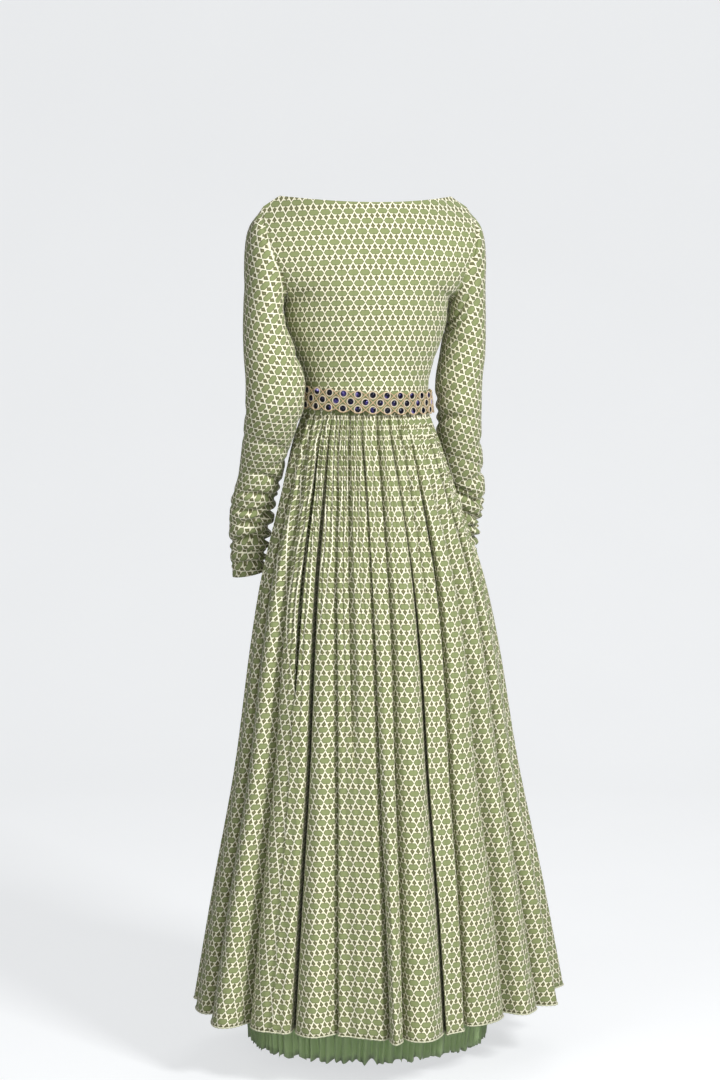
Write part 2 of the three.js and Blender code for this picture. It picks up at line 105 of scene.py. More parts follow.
SLEEVES = {
    "sleeve_left": table(
        "x y z lean out deep",
        (174, 3, -111, 70, 76, 57),
        (178, 9, -137, 62, 68, 55),
        (179, 17, -177, 47, 51, 53),
        (178, 28, -218, 19, 43, 50),
        (174, 36, -258, 5, 46, 48),
        (167, 37, -300, 0, 50, 47),
        (167, 27, -350, 0, 49, 46),
        (171, -8, -405, 0, 42, 42),
        (173, -50, -465, -4, 38.5, 39),
        (178, -76, -510, -6, 38, 38),
        (180, -88, -545, -8, 37, 37),
        (180, -99, -577, -8, 34, 34),
        (179, -108, -608, -10, 31, 31),
        (178, -117, -639, -12, 27, 26),
    ),
    "sleeve_right": table(
        "x y z lean out deep",
        (174, -1, -111, 70, 76, 57),
        (178, -4, -137, 62, 67, 55),
        (178, -9, -176, 47, 49, 53),
        (178, -13, -216, 19, 38, 50),
        (176, -15, -257, 5, 39, 48),
        (170, -15, -300, 0, 40, 46),
        (170, -19, -350, 0, 40, 44),
        (176, -33, -405, 0, 39, 41),
        (188, -58, -465, -4, 39, 40),
        (195, -76, -510, -6, 38, 38),
        (195, -88, -545, -8, 37, 37),
        (197, -98, -577, -8, 34, 34),
        (197, -107, -608, -10, 31, 31),
        (198, -116, -639, -12, 27, 26),
    ),
}
# Creases of a sleeve: at is the way down from the shoulder, turn the side of the arm where
# it is deepest (0 outside, 90 back), spread how far round it runs, tilt how much it slants.
SLEEVE_CREASES = table(
    "at depth width turn spread tilt",
    (64, 5, 10, 200, 70, 22),
    (92, 4, 9, 190, 65, 18),
    (150, 2.5, 9, 150, 60, -14),
    (236, 3, 8, 215, 80, 12),
    (262, 4, 8, 205, 85, -8),
    (286, 3.5, 7, 220, 80, 10),
    (318, 2.5, 9, 60, 70, 16),
    (352, 2.5, 8, 110, 80, -14),
    (386, 4.5, 6, 80, 75, 16),
    (404, 6, 5, 170, 60, -14),
    (416, 6, 5, 60, 70, 12),
    (430, 7.5, 4.5, 130, 80, -12),
    (441, 6, 4, 20, 60, 10),
    (452, 8, 4.5, 100, 90, -8),
    (462, 6, 4, 200, 70, 12),
    (470, 8, 4.5, 60, 85, 9),
    (481, 7, 4, 140, 75, -10),
    (490, 7, 4, 10, 80, -7),
    (498, 8, 4, 95, 95, 8),
    (509, 6.5, 4, 190, 80, -9),
    (517, 7, 4, 50, 85, 7),
    (527, 6, 3.5, 130, 90, -6),
    (537, 5.5, 3.5, 80, 120, 5),
    (546, 4, 3.5, 180, 120, -4),
)
SKIRT = table(
    "z wide deep x y",
    (SKIRT_TOP, 108.5, 85.5, 0, 0),
    (-362, 112, 88.5, 0, 0),
    (-405, 127, 104, -1, 0),
    (-490, 150, 126, -6, 0),
    (-635, 189, 164, -13, -2),
    (-762, 211, 190, -17, -4),
    (-965, 237, 222, -21, -7),
    (-1170, 272, 264, -25, -9),
    (HEM, 303, 300, -28, -11),
)
# Large folds, going round from the wearer's left side over the back: the angles of a valley
# at the waist and the hem, its depth and sideways slip at the hem, how far the ridge after
# it reaches out, and the share of the length where it dies out.
FOLDS = table(
    "waist hem depth lean reach end",
    (-6, -9, 26, -6, 24, 1),
    (9, 12, 40, -24, 42, 1),
    (23, 32, 62, -58, 4, 1),
    (36, 38.5, 14, 0, -4, 0.5),
    (46, 45, 30, -10, -6, 1),
    (54, 59, 30, 0, -30, 1),
    (63, 68, 14, 0, -16, 0.62),
    (73, 77, 26, 5, 18, 1),
    (89, 82, 34, 8, 8, 1),
    (99, 97, 28, 8, -26, 1),
    (109, 102, 12, 0, -30, 0.4),
    (119, 108, 30, 8, -42, 1),
    (128, 131, 46, 40, -20, 1),
    (140, 149, 30, 14, 8, 1),
    (153, 160, 18, 0, -2, 0.8),
    (166, 173, 26, -8, 34, 1),
    (178, 186, 36, 14, 46, 1),
    (191, 197, 28, -6, 24, 1),
    (203, 211, 44, 24, 14, 1),
    (215, 219, 14, 0, 0, 0.55),
    (226, 229, 34, -10, -8, 1),
    (238, 243, 30, 6, 10, 1),
    (249, 251, 14, 0, 4, 0.7),
    (260, 262, 38, -12, 16, 1),
    (271, 275, 30, 8, 2, 1),
    (283, 284, 14, 0, -4, 0.5),
    (295, 297, 36, 14, 12, 1),
    (307, 310, 42, -20, 18, 1),
    (319, 319, 16, 0, 6, 0.6),
    (331, 330, 34, 8, 12, 1),
    (343, 341, 28, -6, 20, 1),
)
# Panels of the skirt, each from one fold to another, and its cut: hem width, length, area.
PANELS = table(
    "name first last width length area",
    ("skirt_back", 3, 14, 1.46, 1.07, 1.13),
    ("skirt_right", 14, 22, 1.13, 1.07, 0.86),
    ("skirt_front", 22, 28, 0.83, 1.07, 0.65),
    ("skirt_left", 28, 34, 1.01, 1.07, 0.74),
)
WAIST_DEPTH = 3
DRIFT = 0.7
DEEPEN = 1.15
FLARE = 1.5
RIDGE_ROUND = 0.6
SLIT_TOP = 8                      # extra depth of each valley's narrow slit near the waist
SLIT_FOOT = 32                     # and lower down
SLIT_SLIP = 14                     # how far a slit's bottom hides to one side
GATHERS_PER_FOLD = 5               # small gathers at the waist between two large folds
GATHER_DEPTH = 6.5

NET = table(
    "z wide deep x y",
    (NET_TOP, 94, 71, 0, 0),
    (-405, 101, 78, 0, 0),
    (-541, 122, 103, -6, -1),
    (-762, 157, 146, -10, -4),
    (-1069, 187, 175, -11, -9),
    (HEM, 212, 192, -10, -18),
    (NET_FOOT, 208, 186, -10, -24),
)
NET_PLEATS = 96
NET_PLEAT_DEPTH = 7.0

BELT = {"topWide": 112.0, "topDeep": 90.2, "footWide": 116.6, "footDeep": 93.2}
BELT_MIDDLE = -332
BELT_HEIGHT = 38
BELT_TILT = 0.045
BELT_SAG = 4
BELT_COLUMNS = 26                  # mirrors in a row
BELT_ROW_PITCH = 12.4
BELT_SCALLOP = 6.2                 # how far the scallops reach past the outer rows of mirrors


# ---- numbers along smooth curves ------------------------------------------------------
def curve(at, values, where):
    """Values on a cubic curve through knots; at rises, values may hold several columns."""
    at = np.asarray(at, float)
    values = np.asarray(values, float)
    where = np.asarray(where, float)
    spans = np.diff(at)
    shape = (-1,) + (1,) * (values.ndim - 1)
    slopes = np.empty_like(values)
    slopes[1:-1] = (values[2:] - values[:-2]) / (at[2:] - at[:-2]).reshape(shape)
    slopes[0] = (values[1] - values[0]) / spans[0]
    slopes[-1] = (values[-1] - values[-2]) / spans[-1]
    i = np.clip(np.searchsorted(at, where, side="right") - 1, 0, len(at) - 2)
    extra = (1,) * (values.ndim - 1)
    t = np.clip((where - at[i]) / spans[i], 0, 1).reshape(where.shape + extra)
    span = spans[i].reshape(where.shape + extra)
    t2, t3 = t * t, t * t * t
    return ((2 * t3 - 3 * t2 + 1) * values[i] + (t3 - 2 * t2 + t) * span * slopes[i]
            + (3 * t2 - 2 * t3) * values[i + 1] + (t3 - t2) * span * slopes[i + 1])


def column(rows, key, height):
    """One column of a table of heights, at any height."""
    return curve([-row["z"] for row in rows], [row[key] for row in rows], -np.asarray(height, float))


def smooth(x):
    x = np.clip(x, 0, 1)
    return x * x * (3 - 2 * x)


def mix(a, b, t):
    return a + (b - a) * t


def dent(distance, width):
    """A soft trough of depth 1."""
    return np.exp(-(distance / width) ** 2)


def ripple(across, down, count, low, high, seed):
    """Uneven waves, for the small movements of cloth, from -1 to 1."""
    draw = np.random.RandomState(seed)
    total = 0
    for _ in range(count):
        total = total + np.sin(across * draw.uniform(low, high) + down * draw.uniform(-6, 6)
                               + draw.uniform(0, 2 * math.pi))
    return total / count


# ---- meshes over grids of points ------------------------------------------------------
def grid_normals(grid, closed=False):
    down = np.gradient(grid, axis=0)
    if closed:
        across = (np.roll(grid, -1, axis=1) - np.roll(grid, 1, axis=1)) / 2
    else:
        across = np.gradient(grid, axis=1)
    normal = np.cross(down, across)
    return normal / np.maximum(np.linalg.norm(normal, axis=2, keepdims=True), 1e-12)


def arc_lengths(grid):
    """Length along each row of a grid, measured from the middle column."""
    steps = np.linalg.norm(np.diff(grid, axis=1), axis=2)
    along = np.concatenate([np.zeros((len(grid), 1)), np.cumsum(steps, axis=1)], axis=1)
    middle = grid.shape[1] // 2
    return along - along[:, middle:middle + 1]


def add_mesh(name, points, quads, uv, material):
    mesh = bpy.data.meshes.new(name)
    mesh.from_pydata(points.tolist(), [], quads.tolist())
    layer = mesh.uv_layers.new(name="UVMap")
    layer.data.foreach_set("uv", uv.astype(np.float32).ravel())
    mesh.polygons.foreach_set("use_smooth", np.ones(len(quads), bool))
    mesh.materials.append(material)
    mesh.update()
    obj = bpy.data.objects.new(name, mesh)
    bpy.context.scene.collection.objects.link(obj)
    return obj


def cloth_shell(name, grid, uv, wall, material, closed=False):
    """A thin closed wall: the grid, the grid moved inwards, and a rim. Sizes in mm."""
    rows, cols = grid.shape[:2]
    inner = grid - grid_normals(grid, closed) * wall
    points = np.concatenate([grid.reshape(-1, 3), inner.reshape(-1, 3)]) * MM
    number = np.arange(rows * cols).reshape(rows, cols)
    if closed:
        number = np.concatenate([number, number[:, :1]], axis=1)
    last_uv = uv[:, -1:] * 2 - uv[:, -2:-1]
    wide_uv = np.concatenate([uv, last_uv], axis=1) if closed else uv
    a, b, c, d = number[:-1, :-1], number[1:, :-1], number[1:, 1:], number[:-1, 1:]
    outside = np.stack([a, b, c, d], axis=-1).reshape(-1, 4)
    inside = np.stack([a, d, c, b], axis=-1).reshape(-1, 4) + rows * cols
    corner = wide_uv[:-1, :-1], wide_uv[1:, :-1], wide_uv[1:, 1:], wide_uv[:-1, 1:]
    outside_uv = np.stack(corner, axis=2).reshape(-1, 2)
    inside_uv = np.stack([corner[0], corner[3], corner[2], corner[1]], axis=2).reshape(-1, 2)
    rims, rim_uvs = [], []

    def rim(edge, edge_uv, flip):
        p, q = edge[:-1], edge[1:]
        quad = [p, q, q + rows * cols, p + rows * cols]
        corners = [edge_uv[:-1], edge_uv[1:], edge_uv[1:], edge_uv[:-1]]
        if flip:
            quad.reverse()
            corners.reverse()
        rims.append(np.stack(quad, axis=-1))
        rim_uvs.append(np.stack(corners, axis=1).reshape(-1, 2))

    rim(number[0], wide_uv[0], False)
    rim(number[-1], wide_uv[-1], True)
    if not closed:
        rim(number[:, 0], wide_uv[:, 0], True)
        rim(number[:, -1], wide_uv[:, -1], False)
    quads = np.concatenate([outside, inside] + rims)
    return add_mesh(name, points, quads, np.concatenate([outside_uv, inside_uv] + rim_uvs), material)


def cord_tube(name, path, radius, sides, material):
    """A closed tube of varying radius along a path; path is n x 3, closed on itself."""
    count = len(path)
    forward = np.roll(path, -1, axis=0) - np.roll(path, 1, axis=0)
    forward /= np.maximum(np.linalg.norm(forward, axis=1, keepdims=True), 1e-9)
    up = np.array([0.0, 0.0, 1.0])
    side = np.cross(forward, up)
    side /= np.maximum(np.linalg.norm(side, axis=1, keepdims=True), 1e-9)
    lift = np.cross(side, forward)
    turn = np.arange(sides) / sides * 2 * math.pi
    ring = (path[:, None] + radius[:, None, None]
            * (np.cos(turn)[None, :, None] * side[:, None] + np.sin(turn)[None, :, None] * lift[:, None]))
    number = np.arange(count * sides).reshape(count, sides)
    nxt, over = np.roll(number, -1, axis=0), np.roll(number, -1, axis=1)
    quads = np.stack([number, nxt, np.roll(nxt, -1, axis=1), over], axis=-1).reshape(-1, 4)
    along = np.arange(count)[:, None] * 0.0015 * np.ones((1, sides))
    uv = np.stack([along, turn[None, :] * np.ones((count, 1)) * 0.001], axis=-1)
    corners = [uv, np.roll(uv, -1, axis=0), np.roll(np.roll(uv, -1, axis=0), -1, axis=1), np.roll(uv, -1, axis=1)]
    corner_uv = np.stack(corners, axis=2).reshape(-1, 2)
    return add_mesh(name, ring.reshape(-1, 3) * MM, quads, corner_uv, material)


# ---- materials ------------------------------------------------------------------------
class Tree:
    """Short ways to add nodes to a tree and join them."""

    def __init__(self, tree):
        self.tree = tree

    def node(self, kind, **settings):
        made = self.tree.nodes.new(kind)
        for key, value in settings.items():
            setattr(made, key, value)
        return made

    def put(self, socket, value):
        if isinstance(value, bpy.types.NodeSocket):
            self.tree.links.new(value, socket)
        else:
            socket.default_value = value

    def math(self, operation, *values, clamp=False):
        made = self.node("ShaderNodeMath", operation=operation, use_clamp=clamp)
        for socket, value in zip(made.inputs, values):
            self.put(socket, value)
        return made.outputs[0]

    def blend(self, share, low, high):
        made = self.node("ShaderNodeMix", data_type="RGBA")
        self.put(made.inputs[0], share)
        self.put(made.inputs[6], low)
        self.put(made.inputs[7], high)
        return made.outputs[2]

    def edge(self, distance, soft):
        """1 inside a shape whose distance is below 0, with a soft edge."""
        made = self.node("ShaderNodeMapRange", interpolation_type="SMOOTHSTEP")
        self.put(made.inputs[0], distance)
        made.inputs[1].default_value = -soft
        made.inputs[2].default_value = soft
        made.inputs[3].default_value = 1.0
        made.inputs[4].default_value = 0.0
        return made.outputs[0]

    def noise(self, vector, scale, detail=2.0):
        made = self.node("ShaderNodeTexNoise")
        self.put(made.inputs["Vector"], vector)
        made.inputs["Scale"].default_value = scale
        made.inputs["Detail"].default_value = detail
        return made.outputs[0]


def new_material(name, roughness, metallic=0.0):
    material = bpy.data.materials.new(name)
    material.use_nodes = True
    tree = Tree(material.node_tree)
    shader = material.node_tree.nodes["Principled BSDF"]
    shader.inputs["Roughness"].default_value = roughness
    shader.inputs["Metallic"].default_value = metallic
    return material, tree, shader


def lattice_cell(t, u, v, across, down, pitch, row):
    """Place inside the nearest cell of a lattice, in mm from the cell's middle."""
    a = t.math("ABSOLUTE", t.math("WRAP", t.math("ADD", u, across), pitch / 2, -pitch / 2))
    b = t.math("ABSOLUTE", t.math("WRAP", t.math("ADD", v, down), row, -row))
    return a, b


def print_masks(t, a, b):
    """Masks of one cell of the print: pill, drop, drop middle."""
    slant = t.math("SUBTRACT", t.math("ADD", a, t.math("MULTIPLY", b, 0.72)), 9.45)
    pill = t.math("SMOOTH_MAX", t.math("SUBTRACT", b, 4.8), t.math("MULTIPLY", slant, 0.8), 1.6)
    rise = t.math("MULTIPLY", t.math("SUBTRACT", b, 4.9), 1.1)
    fall = t.math("MULTIPLY", t.math("SUBTRACT", 14.9, b), 0.62)
    drop = t.math("SUBTRACT", a, t.math("SMOOTH_MIN", rise, fall, 0.6))
    stem = t.math("MAXIMUM", t.math("SUBTRACT", a, 0.8), t.math("SUBTRACT", b, 7.0))
    drop = t.math("MINIMUM", t.math("MULTIPLY", drop, 0.85), stem)
    heart = t.math("ADD", a, t.math("ABSOLUTE", t.math("MULTIPLY", t.math("SUBTRACT", b, 8.9), 0.6)))
    return pill, drop, t.math("SUBTRACT", heart, 0.9)


def printed_cotton(sizes):
    material, t, shader = new_material("printed_cotton", 0.82)
    uv = t.node("ShaderNodeUVMap", uv_map="UVMap").outputs[0]
    split = t.node("ShaderNodeSeparateXYZ")
    wobble = t.node("ShaderNodeVectorMath", operation="MULTIPLY_ADD")
    jitter = t.node("ShaderNodeTexNoise", noise_dimensions="2D")
    t.put(jitter.inputs["Vector"], uv)
    jitter.inputs["Scale"].default_value = 90.0
    t.put(wobble.inputs[0], jitter.outputs[1])
    wobble.inputs[1].default_value = (0.0012, 0.0012, 0.0)
    t.put(wobble.inputs[2], uv)
    t.put(split.inputs[0], wobble.outputs[0])
    u = t.math("MULTIPLY", split.outputs[0], 1000.0)
    v = t.math("MULTIPLY", split.outputs[1], 1000.0)
    pitch, row = sizes.print_pitch / MM, sizes.print_row / MM
    first = lattice_cell(t, u, v, 0.0, 0.0, pitch, row)
    second = lattice_cell(t, u, v, pitch / 2, row, pitch, row)
    pill_a, drop_a, heart_a = print_masks(t, *first)
    pill_b, drop_b, heart_b = print_masks(t, *second)
    pill = t.math("MINIMUM", pill_a, pill_b)
    drop = t.math("MINIMUM", drop_a, drop_b)
    heart = t.math("MINIMUM", heart_a, heart_b)
    a, b = first
    tall = math.hypot(2 / pitch, 1 / row)
    line = t.math("SUBTRACT", t.math("ADD", t.math("MULTIPLY", a, 2 / pitch), t.math("MULTIPLY", b, 1 / row)), 1.0)
    line = t.math("SUBTRACT", t.math("ABSOLUTE", t.math("DIVIDE", line, tall)), 0.55)
    cloud = t.noise(uv, 25.0, 3.0)
    paint = t.blend(t.edge(line, 0.35), tuple(sizes.ground_colour), tuple(sizes.line_colour))
    paint = t.blend(t.edge(drop, 0.3), paint, tuple(sizes.drop_colour))
    paint = t.blend(t.edge(heart, 0.3), paint, tuple(sizes.heart_colour))
    paint = t.blend(t.edge(pill, 0.3), paint, tuple(sizes.pill_edge_colour))
    paint = t.blend(t.edge(t.math("ADD", pill, 1.1), 0.5), paint, tuple(sizes.pill_colour))
    shade = t.math("MULTIPLY_ADD", cloud, 0.16, 0.92)
    tone = t.node("ShaderNodeVectorMath", operation="SCALE")
    t.put(tone.inputs[0], paint)
    t.put(tone.inputs["Scale"], shade)
    t.put(shader.inputs["Base Color"], tone.outputs[0])
    weave_u = t.math("SINE", t.math("MULTIPLY", u, 2 * math.pi / 0.55))
    weave_v = t.math("SINE", t.math("MULTIPLY", v, 2 * math.pi / 0.55))
    weave = t.math("MULTIPLY", weave_u, weave_v)
    slub = t.noise(uv, 400.0, 2.0)
    height = t.math("MULTIPLY_ADD", slub, 0.8, t.math("MULTIPLY", weave, 0.35))
    bump = t.node("ShaderNodeBump")
    bump.inputs["Strength"].default_value = 0.35
    bump.inputs["Distance"].default_value = 0.00025
    t.put(bump.inputs["Height"], height)
    t.put(shader.inputs["Normal"], bump.outputs[0])
    shader.inputs["Sheen Weight"].default_value = 0.12
    shader.inputs["Sheen Roughness"].default_value = 0.5
    return material


def green_net(sizes):
    material, t, shader = new_material("green_net", 0.72)
    uv = t.node("ShaderNodeUVMap", uv_map="UVMap").outputs[0]
    split = t.node("ShaderNodeSeparateXYZ")
    t.put(split.inputs[0], uv)
    stretch = t.node("ShaderNodeMapping")
    t.put(stretch.inputs[0], uv)
    stretch.inputs["Scale"].default_value = (1.0, 0.06, 1.0)
    streak = t.noise(stretch.outputs[0], 260.0, 3.0)
    mesh_u = t.math("SINE", t.math("MULTIPLY", split.outputs[0], 2 * math.pi / 0.0016))
    mesh_v = t.math("SINE", t.math("MULTIPLY", split.outputs[1], 2 * math.pi / 0.0016))
    holes = t.math("MULTIPLY", mesh_u, mesh_v)
    share = t.math("MULTIPLY_ADD", holes, 0.18, streak, clamp=True)
    paint = t.blend(share, tuple(sizes.net_shade_colour), tuple(sizes.net_colour))
    t.put(shader.inputs["Base Color"], paint)
    bump = t.node("ShaderNodeBump")
    bump.inputs["Strength"].default_value = 0.5
    bump.inputs["Distance"].default_value = 0.0004
    t.put(bump.inputs["Height"], t.math("ADD", holes, t.math("MULTIPLY", streak, 2.0)))
    t.put(shader.inputs["Normal"], bump.outputs[0])
    shader.inputs["Sheen Weight"].default_value = 0.3
    return material


def thread(name, colour, shade, roughness, metallic, twist):
    """Twisted or laid thread: fine slanted lines over the object's own coordinates."""
    material, t, shader = new_material(name, roughness, metallic)
    place = t.node("ShaderNodeTexCoord").outputs["Object"]
    wave = t.node("ShaderNodeTexWave", bands_direction="DIAGONAL")
    t.put(wave.inputs["Vector"], place)
    wave.inputs["Scale"].default_value = twist
    wave.inputs["Distortion"].default_value = 2.5
    wave.inputs["Detail"].default_value = 2.0
    speck = t.noise(place, 900.0, 3.0)
    share = t.math("MULTIPLY_ADD", speck, 0.6, t.math("MULTIPLY", wave.outputs[1], 0.5), clamp=True)
    t.put(shader.inputs["Base Color"], t.blend(share, shade, colour))
    bump = t.node("ShaderNodeBump")
    bump.inputs["Strength"].default_value = 0.6
    bump.inputs["Distance"].default_value = 0.0003
    t.put(bump.inputs["Height"], wave.outputs[1])
    t.put(shader.inputs["Normal"], bump.outputs[0])
    return material


def mirror_glass():
    material, t, shader = new_material("mirror_glass", 0.12, 0.45)
    place = t.node("ShaderNodeTexCoord").outputs["Object"]
    # The ramp paints reflections into the mirrors' colour: near-black and navy patches for the dark surroundings
    # they reflect, violet to lilac patches for brighter reflections.
    reflection_patch = t.noise(place, 55.0, 1.0)
    ramp = t.node("ShaderNodeValToRGB")
    t.put(ramp.inputs[0], reflection_patch)
    low, high = ramp.color_ramp.elements
    low.position, low.color = 0.54, (0.004, 0.004, 0.014, 1)
    high.position, high.color = 0.70, (0.50, 0.42, 0.85, 1)
    middle = ramp.color_ramp.elements.new(0.61)
    middle.color = (0.03, 0.02, 0.14, 1)
    t.put(shader.inputs["Base Color"], ramp.outputs[0])
    bump = t.node("ShaderNodeBump")
    bump.inputs["Strength"].default_value = 0.25
    bump.inputs["Distance"].default_value = 0.0006
    t.put(bump.inputs["Height"], t.noise(place, 160.0, 1.0))
    t.put(shader.inputs["Normal"], bump.outputs[0])
    return material


def floor_paint():
    material, t, shader = new_material("studio_floor", 0.9)
    place = t.node("ShaderNodeTexCoord").outputs["Object"]
    grain = t.noise(place, 3.0)
    t.put(shader.inputs["Base Color"], t.blend(grain, (0.36, 0.365, 0.37, 1), (0.39, 0.395, 0.40, 1)))
    seen = t.node("ShaderNodeLightPath").outputs["Is Camera Ray"]
    shader.inputs["Emission Color"].default_value = (0.97, 0.985, 1.0, 1)
    t.put(shader.inputs["Emission Strength"], t.math("MULTIPLY", seen, 0.66))
    return material


def keep(piece, nodes):
    """Hang a finished piece on the gown and hide the CAD parts it stands for."""
    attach(piece, BODY)
    if nodes:
        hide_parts(*nodes)
    return piece


def shared_material(name, make, *values):
    return bpy.data.materials.get(name) or make(*values)


# ---- bodice ---------------------------------------------------------------------------
def bodice_points(rows, facing, turn, step):
    """Points of one bodice panel: turn is the row number down from the shoulder, step the
    way across from -1 to 1."""
    number = np.arange(len(rows))
    row = {key: curve(number, [r[key] for r in rows], turn) for key in rows[0]}
    row["edgeY"] = np.maximum(row["edgeY"], 0)
    across = np.sin(np.abs(step) * math.pi / 2)
    x = np.sign(step) * row["edgeX"] * across
    rise = np.maximum(1 - across * across, 0) ** row["bow"]
    depth = np.maximum(row["edgeY"] + (row["midY"] - row["edgeY"]) * rise, 0.2)
    z = mix(row["midZ"], row["edgeZ"], across ** 3)
    top = rows[0]
    share = np.minimum(across / NECK_SHARE, 1)
    beyond = np.clip((across - NECK_SHARE) / (1 - NECK_SHARE), 0, 1)
    top_x = np.sign(step) * top["edgeX"] * across
    top_depth = np.maximum(top["midY"] * (1 - share ** 2.2), 0.2)
    top_z = mix(mix(top["midZ"], NECK_END_Z, share * share), top["edgeZ"], beyond)
    near_top = 1 - smooth(turn)
    x, depth, z = mix(x, top_x, near_top), mix(depth, top_depth, near_top), mix(z, top_z, near_top)
    return np.stack([x, facing * depth, z], axis=-1)


BODICE_CREASES = table(
    "x z run depth width slant",
    (-112, -150, 46, 1.8, 5, 0.55),
    (-118, -176, 40, 1.6, 5, 0.35),
    (112, -150, 46, 1.8, 5, -0.55),
    (118, -178, 40, 1.5, 5, -0.35),
    (-86, -272, 34, 1.2, 4, -0.2),
    (-60, -296, 40, 1.4, 4, 0.12),
    (24, -300, 44, 1.4, 4, -0.1),
    (80, -282, 36, 1.3, 4, 0.2),
    (10, -262, 50, 0.9, 5, 0.05),
)


def make_bodice(sizes, cotton):
    for name, rows, facing in (("bodice_back", BODICE_BACK, 1), ("bodice_front", BODICE_FRONT, -1)):
        turn = np.linspace(0, len(rows) - 1, 105)[:, None]
        step = np.linspace(1, -1, 105)[None, :] * facing
        grid = bodice_points(rows, facing, turn + 0 * step, step + 0 * turn)
        normal = grid_normals(grid)
        x, z = grid[..., 0], grid[..., 2]
        press = np.zeros(x.shape)
        for crease in BODICE_CREASES:
            along = x - crease["x"]
            drop = z - crease["z"] - crease["slant"] * along
            press += crease["depth"] * dent(drop, crease["width"]) * dent(along, crease["run"])
        hold = smooth((1 - np.abs(step)) * 8) * smooth(turn)
        press += 0.8 * (ripple(x / 30, -z / 200, 5, 0.6, 1.6, SEED) * smooth(turn / 4))
        waist = smooth((-z - 175) / 120)
        press += 2.2 * ripple(x / 9, -z / 150, 6, 0.5, 1.5, SEED + 6 + facing) * waist
        grid = grid - normal * (press * hold)[..., None]
        sag = -0.00025 * x * x + 1.6 * ripple(x / 60, -z / 60, 4, 0.5, 1.5, SEED + 9)
        uv = np.stack([arc_lengths(grid) * facing, sag - z * 1.03], axis=-1) * MM
        piece = cloth_shell(name, grid, uv, sizes.cloth / MM, cotton)
        keep(piece, [name])


# ---- sleeves --------------------------------------------------------------------------
def armhole_ring(side, turns):
    """The bodice's armhole edge: over the shoulder, down the back, under the arm, up the front."""
    behind = turns <= 0.5
    down = np.where(behind, turns, 1 - turns) * 2 * ARMHOLE_ROWS
    edge = np.full_like(turns, side)
    back = bodice_points(BODICE_BACK, 1, down, edge)
    front = bodice_points(BODICE_FRONT, -1, down, edge)
    return np.where(behind[:, None], back, front)


def make_sleeve(name, side, sizes, cotton):
    turns = (np.arange(96) / 96 + 0.5) % 1
    angle = turns * 2 * math.pi
    rings = [armhole_ring(side, turns)]
    for row in SLEEVES[name]:
        lean = math.radians(row["lean"])
        out, deep = row["out"] * np.cos(angle), row["deep"] * np.sin(angle)
        rings.append(np.stack([side * (row["x"] + out * math.cos(lean)), row["y"] + deep,
                               row["z"] + out * math.sin(lean)], axis=-1))
    rings = np.stack(rings)
    gaps = np.linalg.norm(np.diff(rings, axis=0), axis=2).mean(axis=1)
    at = np.concatenate([[0], np.cumsum(gaps)])
    length = at[-1]
    down = np.linspace(0, length, 210)
    grid = curve(at, rings, down)
    if side < 0:
        grid = grid[:, ::-1]
        angle = angle[::-1]
    arm_x = np.interp(-grid[..., 2], (11, 111, 177, 218), (150, 160, 174, 178))
    arm_x = np.where(grid[..., 2] < -218, side * grid[..., 0].mean(axis=1, keepdims=True), arm_x)
    bend = np.arctan2(grid[..., 1] - grid[..., 1].mean(axis=1, keepdims=True), side * grid[..., 0] - arm_x)
    bend = np.unwrap(bend, axis=1)
    middle = len(turns) // 2
    bend -= 2 * math.pi * np.round(bend[:, middle:middle + 1] / (2 * math.pi))
    around = bend * np.interp(down, (0, 0.5 * length, 0.8 * length, length), (47, 46, 39, 28))[:, None]
    along, level = np.linalg.norm(np.diff(grid, axis=0), axis=2), -np.diff(grid[..., 2], axis=0)
    rises = np.where(grid[:-1, :, 2] > -220, level, along)[::-1]
    fall = length - np.concatenate([np.cumsum(rises, axis=0)[::-1], np.zeros((1, len(turns)))])
    normal = grid_normals(grid, closed=True)
    press = np.zeros(grid.shape[:2])
    shift = 7 if side < 0 else 0
    for k, crease in enumerate(SLEEVE_CREASES):
        away = (np.degrees(angle)[None, :] - crease["turn"] - 40 * side + 180) % 360 - 180
        slant = crease["tilt"] * np.sin(np.radians(away))
        drop = down[:, None] - crease["at"] * length / 556 - slant - shift * math.sin(k * 2.1)
        press += 1.6 * crease["depth"] * dent(drop, crease["width"]) * dent(away, crease["spread"])
    ruched = smooth((down / length - 0.66) / 0.1)[:, None]
    press -= 2.6 * ruched
    press += 1.1 * ruched * ripple(down[:, None] / 5, angle[None, :] * 0.25, 5, 0.7, 1.5, SEED + side)
    seam = 5 * dent(down - 6, 3.5)[:, None] * smooth(2.2 - 4 * np.abs(turns - 0.5))[None, :]
    grid = grid - normal * (press * smooth(down / 25)[:, None] + seam)[..., None]
    bias = math.radians(50 * side)
    u = around * np.cos(bias) - fall * np.sin(bias)
    v = around * np.sin(bias) + fall * np.cos(bias)
    uv = np.stack([u, v], axis=-1) * MM
    piece = cloth_shell(name, grid, uv, sizes.cloth / MM, cotton, closed=True)
    keep(piece, [name])


# ---- skirt ----------------------------------------------------------------------------
def fold_value(key, number):
    """A column of the fold table for any fold number; angles go on past a full turn."""
    values = np.array([row[key] for row in FOLDS], float)
    turns = (number // len(FOLDS)) * 360 if key in ("waist", "hem") else 0
    return values[number % len(FOLDS)] + turns


